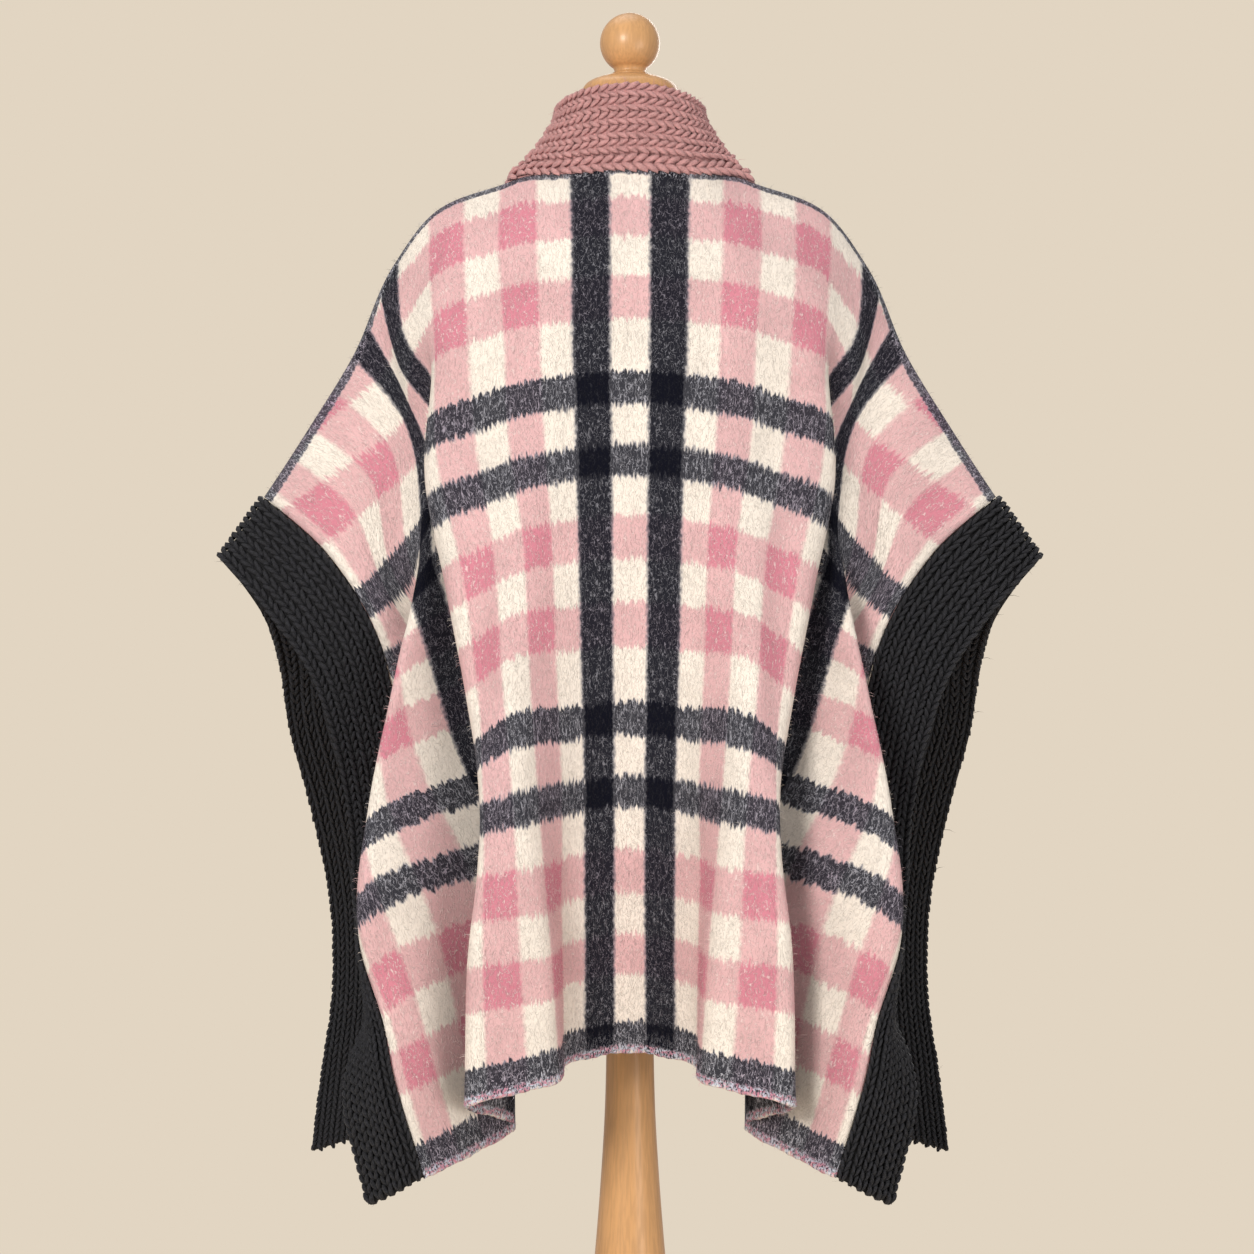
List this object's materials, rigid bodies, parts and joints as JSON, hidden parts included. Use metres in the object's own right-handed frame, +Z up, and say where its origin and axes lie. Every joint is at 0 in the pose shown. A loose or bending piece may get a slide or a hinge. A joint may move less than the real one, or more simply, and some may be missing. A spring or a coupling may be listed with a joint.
{
  "type": "knitted poncho sweater on a limbless dress form",
  "caption": "Brushed plaid knit poncho with a fold-over funnel collar and chunky rib side bands, resting on a limbless dress form with a turned wooden post and round base.",
  "frame": {"origin": "centre of the base's underside", "axes": "+Z up, the garment's front faces -Y, the wearer's left is +X"},
  "size_m": [0.7806, 0.4127, 1.5028],
  "materials": {
    "plaid_cloth": "brushed knit",
    "band_yarn": "chunky rib knit",
    "collar_yarn": "chunky rib knit",
    "form_cloth": "smooth linen",
    "honey_wood": "satin"
  },
  "bodies": {
    "root": {"back_panel": "plaid_cloth", "front_panel": "plaid_cloth", "left_arm_band": "band_yarn", "right_arm_band": "band_yarn", "collar": "collar_yarn", "form_torso": "form_cloth", "neck_cap": "honey_wood", "finial": "honey_wood", "post": "honey_wood", "base": "honey_wood"}
  },
  "joints": []
}
